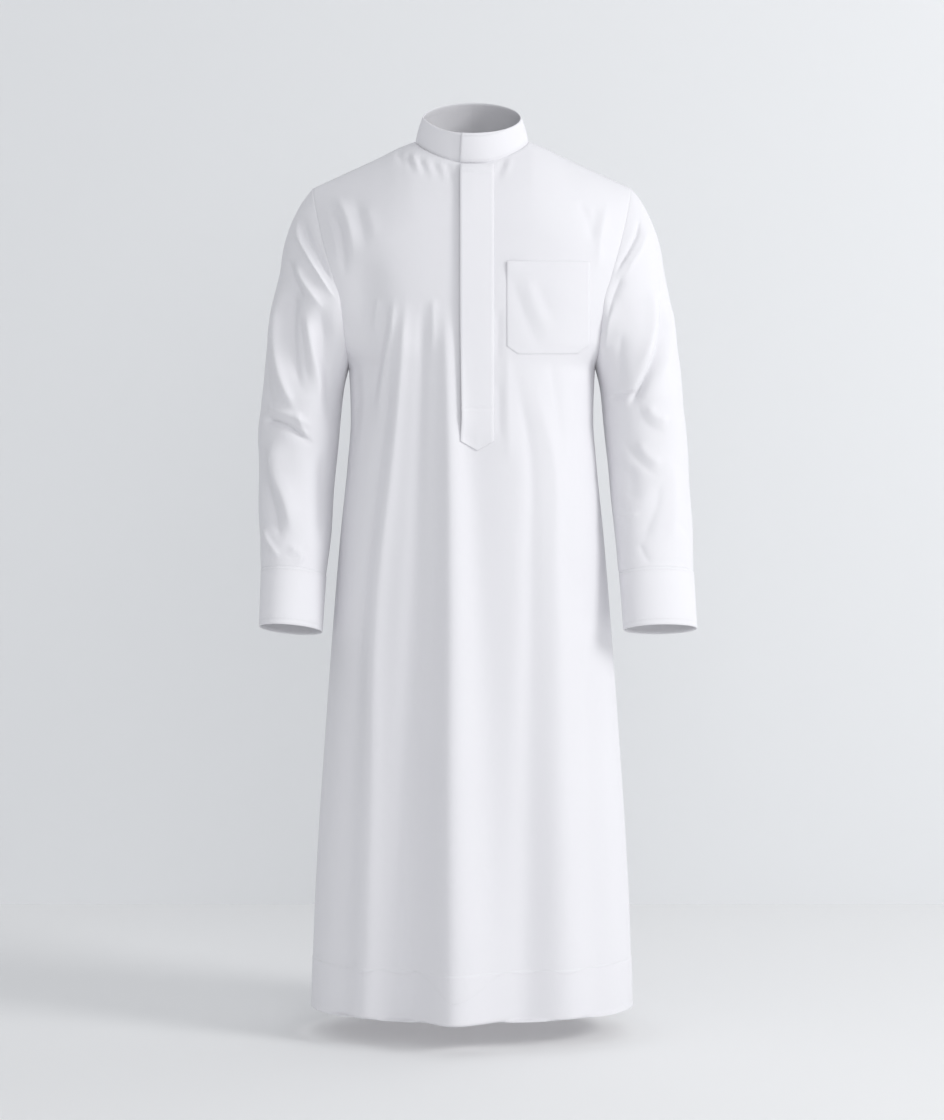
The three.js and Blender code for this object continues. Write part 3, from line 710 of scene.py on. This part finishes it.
def make_panel(name, side):
    """A front or back panel: the piece, its points and the row at the armpit."""
    x, z, armpit_row = panel_grid(side)
    points, outward = body_points(side, x, z)
    edge = unit(np.stack([np.sign(x), np.zeros_like(x), np.zeros_like(x)], axis=-1))
    rows = np.arange(len(x)) <= armpit_row
    for column in (0, -1):
        outward[rows, column] = edge[rows, column]
    points[-1, :, 1] = np.where(np.abs(x[-1]) >= NECK_HALF_WIDTH - 1e-6, 0, points[-1, :, 1])
    facing = facing_out(points, outward)
    seam = [0, -1]
    facing[:, seam] = outward[:, seam]
    return shell(name, points, facing, CLOTH, cloth="hemmed_poplin"), points, armpit_row


# Folds of the sleeves, as (x, z) lines seen from the front. Keys are the wearer's sides.
SLEEVE_FOLDS = {
    "right": [
        # the crease that falls from the shoulder, with the light bands under it
        ([(-266, -108), (-262, -138), (-247, -168), (-229, -198), (-211, -226), (-200, -240)],
         (3.4, 3.4), (4.4, 3.6), 0.35, FADE),
        ([(-258, -104), (-250, -138), (-234, -168), (-216, -196), (-204, -216)],
         (8, 7), (-4.6, -3.8), 0, FADE),
        ([(-268, -172), (-254, -206), (-236, -232), (-222, -250)], (8, 7), (5, 4), 0.2, FADE),
        ([(-280, -170), (-268, -206), (-252, -240)], (8, 8), (-4, -3.4), 0, FADE),
        # the long ridge of the upper arm
        ([(-284, -196), (-291, -250), (-294, -300), (-289, -342), (-276, -380), (-264, -406)],
         (9, 7), (7.5, 6), 0.35, (0.3, 0.2)),
        ([(-270, -200), (-274, -290), (-266, -340), (-252, -384)], (12, 11), (-8, -6), 0, FADE),
        ([(-250, -252), (-241, -306), (-231, -360), (-231, -402)], (8, 9), (4.4, 3.4), 0.2, FADE),
        ([(-262, -250), (-254, -310), (-244, -370)], (6, 7), (-2.6, -2.6), 0, FADE),
        ([(-230, -240), (-222, -300), (-214, -370), (-214, -440)], (13, 13), (-7, -6), 0, FADE),
        # the dark flank on its outer side
        ([(-318, -250), (-316, -320), (-308, -380), (-290, -420)], (10, 9), (-3.4, -2.8), 0.2, FADE),
        # the bend of the elbow
        ([(-316, -414), (-282, -424), (-262, -436), (-236, -456)], (5, 4.5), (-6.5, -4.5), 0.3, (0.12, 0.3)),
        ([(-314, -400), (-290, -404), (-262, -414), (-240, -430)], (6, 5), (4, 3), 0, (0.12, 0.3)),
        ([(-266, -400), (-258, -424), (-246, -450)], (4, 4), (3, 2.4), 0.3, FADE),
        # the lit dome of the forearm and its edge
        ([(-300, -436), (-302, -490), (-286, -534), (-270, -592)], (13, 11), (6, 5), -0.3, FADE),
        ([(-320, -450), (-318, -500), (-303, -550), (-286, -604)], (11, 10), (-6.5, -5.6), 0, FADE),
        ([(-318, -576), (-306, -602), (-288, -624)], (4.5, 4.5), (3.8, 3), 0.3, FADE),
        ([(-282, -606), (-268, -612), (-258, -622), (-268, -634), (-282, -628)],
         (5, 5), (2.6, 2.4), 0.2, FADE),
        ([(-226, -460), (-226, -530), (-228, -610)], (10, 9), (-4, -3), 0, FADE),
    ],
    "left": [
        # the sharp crease that falls from the shoulder
        ([(254, -108), (250, -136), (238, -160), (224, -182), (213, -200)], (3, 3), (-4, -3.4), 0.3, FADE),
        ([(264, -120), (258, -150), (242, -178), (228, -204)], (7, 6), (2.6, 2.2), 0, FADE),
        ([(206, -176), (198, -206), (194, -238)], (4, 4), (-3, -3), 0, FADE),
        ([(228, -194), (212, -232), (203, -270)], (6, 6), (-4, -3.6), 0, FADE),
        ([(216, -230), (206, -270), (202, -320)], (6, 7), (2.6, 2.2), 0, FADE),
        ([(226, -280), (222, -330), (224, -376)], (9, 9), (-3, -2.6), 0, FADE),
        # the long dark crease down to the bend of the elbow
        ([(286, -180), (290, -236), (288, -280), (280, -314), (266, -344), (250, -372), (234, -398)],
         (7, 6), (-11, -10), -0.35, (0.3, 0.12)),
        ([(270, -210), (274, -270), (264, -314), (246, -348)], (11, 9), (4.4, 3.4), 0, FADE),
        ([(304, -230), (304, -290), (294, -330), (280, -362)], (10, 9), (3.4, 2.8), 0, FADE),
        ([(206, -386), (228, -378), (250, -372)], (5, 4), (-4, -4), 0.3, FADE),
        # the flat planes of the elbow and forearm, edge by edge
        ([(250, -384), (256, -408), (268, -424), (286, -434), (304, -436)],
         (9, 11), (-1.8, -1.4), 0.35, FADE),
        ([(262, -392), (280, -412), (302, -418)], (9, 9), (3, 2.6), 0, FADE),
        ([(226, -440), (240, -466), (262, -488), (286, -504)], (10, 10), (-2.6, -2.2), -0.35, FADE),
        ([(250, -446), (266, -470), (290, -486)], (9, 9), (2.6, 2.4), 0, FADE),
        ([(286, -506), (280, -545), (266, -580), (256, -606)], (11, 11), (-2.6, -2.2), 0.35, FADE),
        ([(214, -556), (236, -562), (256, -556)], (4, 4), (2.4, 1.8), 0, FADE),
        ([(232, -480), (242, -514), (240, -546)], (16, 14), (-3, -2.6), 0, FADE),
        ([(252, -600), (262, -622), (272, -636)], (5, 5), (-1.6, -1.4), 0, FADE),
        ([(304, -470), (308, -540), (304, -610)], (12, 11), (2.4, 2), 0, FADE),
    ],
}

# factors on the listed folds: the light falls along those of the wearer's right sleeve
FOLD_DEPTH = {"right": 1.55, "left": 1.2}
BACK_FOLD_DEPTH = 1.7
HEAD_FADE_ROWS = 7.0
CUFF_FADE_ROWS = 4.0
CUFF_LIFT = 0.7

# The back of each sleeve, for the wearer's left; the other one mirrors it.
SLEEVE_BACK_FOLDS = [
    ([(252, -120), (244, -160), (226, -200), (208, -232)], (7, 7), (-2.6, -2.2), 0, FADE),
    ([(276, -200), (270, -260), (254, -320), (236, -372)], (10, 9), (3.4, 2.8), 0.2, FADE),
    ([(208, -404), (240, -412), (280, -424)], (7, 7), (-4.4, -3.4), 0, FADE),
    ([(216, -440), (250, -446), (290, -440)], (8, 7), (3, 2.4), 0, FADE),
    ([(222, -470), (250, -486), (280, -520), (300, -560)], (8, 7), (-3, -2.4), 0, FADE),
    ([(238, -540), (262, -570), (290, -620)], (9, 8), (2.4, 2), 0, FADE),
]

# The outer side of each sleeve, as (y, z) lines: creases that run round the bend of the arm.
SLEEVE_SIDE_FOLDS = [
    ([(-20, -150), (6, -200), (24, -260)], (12, 14), (-2, -1.8), 0.2, FADE),
    ([(-44, -240), (-20, -300), (6, -370)], (12, 14), (1.8, 1.6), 0, FADE),
    ([(-56, -396), (-20, -404), (20, -392), (48, -374)], (14, 14), (-1.1, -0.9), 0.2, FADE),
    ([(-60, -470), (-30, -492), (10, -498)], (15, 15), (-1, -0.9), 0, FADE),
    ([(-66, -560), (-40, -590), (-16, -630)], (9, 9), (-1.4, -1.2), 0, FADE),
]


def arm_curve(name, hand):
    """Centres and half sizes down the arm, finely and smoothly, to the cuff's end."""
    table = np.array(ARM, float)
    share = smooth((table[0, 2] - table[:, 2]) / (table[0, 2] - table[-1, 2]))
    table[:, 0] = hand * (table[:, 0] + CUFF_SWING[name] * share)
    table[:, 3] += CUFF_TURN[name] * share
    table[:, 4] -= CUFF_TURN[name] * share
    places = -table[:, 2]
    at = np.linspace(places[0], places[-1], ARM_ROWS + 1)
    at[np.argmin(np.abs(at - places[-2]))] = places[-2]
    fine = np.stack([along(list(zip(places, table[:, k])), at) for k in range(5)], axis=1)
    return fine[:, :3], fine[:, 3], fine[:, 4], int(np.argmin(np.abs(at - places[-2])))


def arm_rings(name, hand, count):
    """Rings of points down the arm, which lean to the wearer's right towards the cuff."""
    centres, across, deep, cuff_row = arm_curve(name, hand)
    axes = unit(np.gradient(centres, axis=0))
    forward = np.array([0, -1.0, 0]) - axes * (axes @ np.array([0, -1.0, 0]))[:, None]
    outward = np.array([hand, 0, 0]) - axes * (axes @ np.array([hand, 0, 0]))[:, None]
    forward, outward = unit(forward), unit(outward)
    turn = np.linspace(0, 2 * math.pi, count)[None, :, None]
    rings = (centres[:, None] - outward[:, None] * across[:, None, None] * np.cos(turn)
             + forward[:, None] * deep[:, None, None] * np.sin(turn))
    share = smooth((centres[0, 2] - centres[:, 2]) / (centres[0, 2] - centres[-1, 2]))
    rings[..., 0] -= (CUFF_LEAN[name] * share * deep)[:, None] * np.sin(turn[..., 0])
    return rings, cuff_row


# The sleeve's head, from the armpit to the shoulder: how far it leaves the armhole outward and
# downward, and how far front to back it spreads.
LEAVE_OUT = (0.25, 0.74)
LEAVE_DOWN = (0.95, 0.67)
LEAVE_SPREAD = 0.3
HEAD_PULL = 0.2  # shares of its length that its two ends hold their directions for
ARM_PULL = 0.46
ARM_LEAN = 0.12


def sleeve_head(ring, below, hand):
    """Each point leaves the armhole outward and curves down into the arm."""
    turn = np.linspace(0, 2 * math.pi, len(ring))
    high = (1 - np.cos(turn)) / 2
    length = np.linalg.norm(below - ring, axis=1, keepdims=True)
    leave = unit(np.stack([hand * lerp(*LEAVE_OUT, high), -LEAVE_SPREAD * np.sin(turn),
                           -lerp(*LEAVE_DOWN, high)], axis=1))
    first = ring + leave * length * HEAD_PULL
    second = below + unit(np.array([-hand * ARM_LEAN, 0, 1.0])) * length * ARM_PULL
    t = np.linspace(0, 1, HEAD_ROWS + 1)[:-1, None, None]
    return (ring * (1 - t) ** 3 + 3 * first * t * (1 - t) ** 2
            + 3 * second * t * t * (1 - t) + below * t ** 3)


def make_arm(name, front_points, back_points, armpit_row):
    """Sleeve and cuff of one side, from the panels' armhole points."""
    hand = 1 if name == "left" else -1
    edge = -1 if hand > 0 else 0
    up = front_points[armpit_row:, edge]
    down = back_points[armpit_row:, edge][::-1]
    loop = np.concatenate([up, down[1:]])
    rings, cuff_row = arm_rings(name, hand, len(loop))
    plain = np.concatenate([sleeve_head(loop, rings[0], hand), rings])
    cuff_row += HEAD_ROWS
    outward = grid_normals(plain, ring=True) * -hand
    outward[0] = outward[1]
    x, y, z = plain[..., 0], plain[..., 1], plain[..., 2]
    facing = outward[..., 1]
    sideways = hand * outward[..., 0]
    front_rise = fold_rise(SLEEVE_FOLDS[name], x, z) * smooth((0.12 - facing) / 0.4)
    back_rise = fold_rise(SLEEVE_BACK_FOLDS, hand * x, z) * smooth((facing - 0.05) / 0.4)
    side_rise = fold_rise(SLEEVE_SIDE_FOLDS, y, z) * smooth((sideways - 0.4) / 0.45)
    run = np.arange(len(plain))[:, None]
    at_head = smooth(run / HEAD_FADE_ROWS)
    at_cuff = smooth((cuff_row - run) / CUFF_FADE_ROWS)
    wander = 0.5 * np.sin(z / 31.0 + x / 23.0 + hand) + 0.4 * np.sin(z / 19.0 - x / 29.0)
    rise = FOLD_DEPTH[name] * front_rise + BACK_FOLD_DEPTH * back_rise + side_rise + wander
    rise = rise * at_head * at_cuff
    points = plain + outward * rise[..., None]
    shown = grid_normals(points, ring=True) * -hand
    shown[0] = outward[0]
    sleeve = shell(f"sleeve_{name}_cloth", points[:cuff_row + 1], shown[:cuff_row + 1], CLOTH, ring=True)
    cuff_points = plain[cuff_row:] + outward[cuff_row:] * CUFF_LIFT
    cuff = shell(f"cuff_{name}_cloth", cuff_points, outward[cuff_row:], STIFF_CLOTH, ring=True,
                 slot="stiff_poplin", cloth="cuff_poplin")
    return sleeve, cuff


# ---- collar: its top edge, its overlapping ends, its front quarter on the wearer's right ----
COLLAR_TOP = {"half_width": 75, "half_depth": 55, "y": -13, "z": 40, "tilt": 0.48}
COLLAR_OVERLAP = (24, -17)
COLLAR_OVERLAP_LIFT = 3.0
COLLAR_SINK = 1.8  # how far its lower edge goes below the neck opening
COLLAR_CROWN = 1.4
COLLAR_CORNER = (1.85, 1.5)  # exponent of the quarter's outline at the lower and top edge


def make_collar():
    """The band, from its under end at the front, round the neck, to its upper end over it."""
    start = math.asin(COLLAR_OVERLAP[0] / NECK_HALF_WIDTH)
    finish = math.asin(COLLAR_OVERLAP[1] / NECK_HALF_WIDTH) - 2 * math.pi
    turn = np.linspace(start, finish, COLLAR_COLUMNS)
    level = np.linspace(0, 1, COLLAR_ROWS)[:, None]
    x, y = np.sin(turn), -np.cos(turn)
    lift = COLLAR_OVERLAP_LIFT * smooth((-turn - 1.7 * math.pi) / (0.3 * math.pi))
    base_z = np.where(y < 0, height_at(FRONT, NECK_HALF_WIDTH * x, np.abs(NECK_HALF_DEPTH * y)),
                      height_at(BACK, NECK_HALF_WIDTH * x, np.abs(NECK_HALF_DEPTH * y)))
    base = np.stack([(NECK_HALF_WIDTH + lift) * x, (NECK_HALF_DEPTH + lift) * y,
                     base_z - COLLAR_SINK], axis=-1)
    top = np.stack([(COLLAR_TOP["half_width"] + lift) * x,
                    COLLAR_TOP["y"] + (COLLAR_TOP["half_depth"] + lift) * y,
                    COLLAR_TOP["z"] + COLLAR_TOP["tilt"] * COLLAR_TOP["half_depth"] * y], axis=-1)
    quarter = (turn < 0) & (turn > -math.pi / 2)
    points = base[None] + (top - base)[None] * level[..., None]
    for i, sharp in enumerate(lerp(*COLLAR_CORNER, level[:, 0])):
        shrink = (np.abs(x) ** sharp + np.abs(y) ** sharp) ** (-1 / sharp)
        middle_y = COLLAR_TOP["y"] * level[i, 0]
        points[i, quarter, 0] *= shrink[quarter]
        points[i, quarter, 1] = middle_y + (points[i, quarter, 1] - middle_y) * shrink[quarter]
    out = facing_out(points, np.stack([x, y, 0 * x], axis=-1))
    points = points + out * (COLLAR_CROWN * np.sin(level * math.pi))[..., None]
    return shell("collar_cloth", points, out, STIFF_CLOTH, slot="stiff_poplin", cloth="collar_poplin")


# ---- placket and pocket ----
PLACKET = {"x": 7.5, "half_width": 24.7, "top": -33, "bottom": -446, "point": 14}
PLACKET_SEAMS = (-44, -397)
PLACKET_SEAM_DEPTH, PLACKET_SEAM_WIDTH = 0.8, 1.9
PLACKET_LIFT, PLACKET_LEAN = 1.9, 2.5  # at its edge on the wearer's left, and more towards the right
POCKET = {"left": 52, "right": 176, "top": -178, "bottom": -316, "chamfer": 17}
CHAMFER_SLOPE = 0.7
POCKET_LIFT, POCKET_GAPE, POCKET_GAPE_REACH = 0.8, 2.2, 26


def patch(name, x, z, lift, thickness, slot):
    """A piece that lies on the front panel, lifted off its folded cloth."""
    points, outward = body_points(FRONT, x, z)
    facing = facing_out(points, outward)
    return shell(name, points + facing * lift[..., None], facing, thickness, slot=slot)


def make_placket():
    p = PLACKET
    across = np.linspace(-1, 1, PLACKET_COLUMNS)[None]
    up = np.linspace(0, 1, PLACKET_POINTS)[:, None]
    low = p["bottom"] - p["point"] * (1 - np.abs(across))
    x = p["x"] + p["half_width"] * across + 0 * up
    z = low + (p["top"] - low) * up
    lift = PLACKET_LIFT + PLACKET_LEAN * (1 - across) * smooth(up / 0.1) * smooth((1.02 - up) / 0.06)
    for seam in PLACKET_SEAMS:
        lift = lift - PLACKET_SEAM_DEPTH * np.exp(-((z - seam) / PLACKET_SEAM_WIDTH) ** 2)
    return patch("placket_cloth", x, z, lift, PLACKET_CLOTH, "stiff_poplin")


def make_pocket():
    p = POCKET
    x = np.linspace(p["left"], p["right"], POCKET_COLUMNS)[None] + np.zeros((POCKET_POINTS, 1))
    corner = np.minimum(x - p["left"], p["right"] - x)
    low = p["bottom"] + np.maximum(0, p["chamfer"] * CHAMFER_SLOPE * (1 - corner / p["chamfer"]))
    up = np.linspace(0, 1, POCKET_POINTS)[:, None]
    z = low + (p["top"] - low) * up
    gape = POCKET_GAPE * smooth((up - 0.75) / 0.25) * np.exp(-((x - p["left"]) / POCKET_GAPE_REACH) ** 2)
    return patch("chest_pocket_cloth", x, z, POCKET_LIFT + gape, POCKET_CLOTH, "poplin")


def place(piece, name):
    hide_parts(name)


make_camera()
make_stage()
make_lights()

front_cloth, front_points, armpit_row = make_panel("front_panel_cloth", FRONT)
back_cloth, back_points, armpit_row = make_panel("back_panel_cloth", BACK)
place(front_cloth, "front_panel")
place(back_cloth, "back_panel")
for arm in ("left", "right"):
    sleeve_cloth, cuff_cloth = make_arm(arm, front_points, back_points, armpit_row)
    place(sleeve_cloth, f"sleeve_{arm}")
    place(cuff_cloth, f"cuff_{arm}")
place(make_collar(), "collar")
place(make_placket(), "placket")
place(make_pocket(), "chest_pocket")
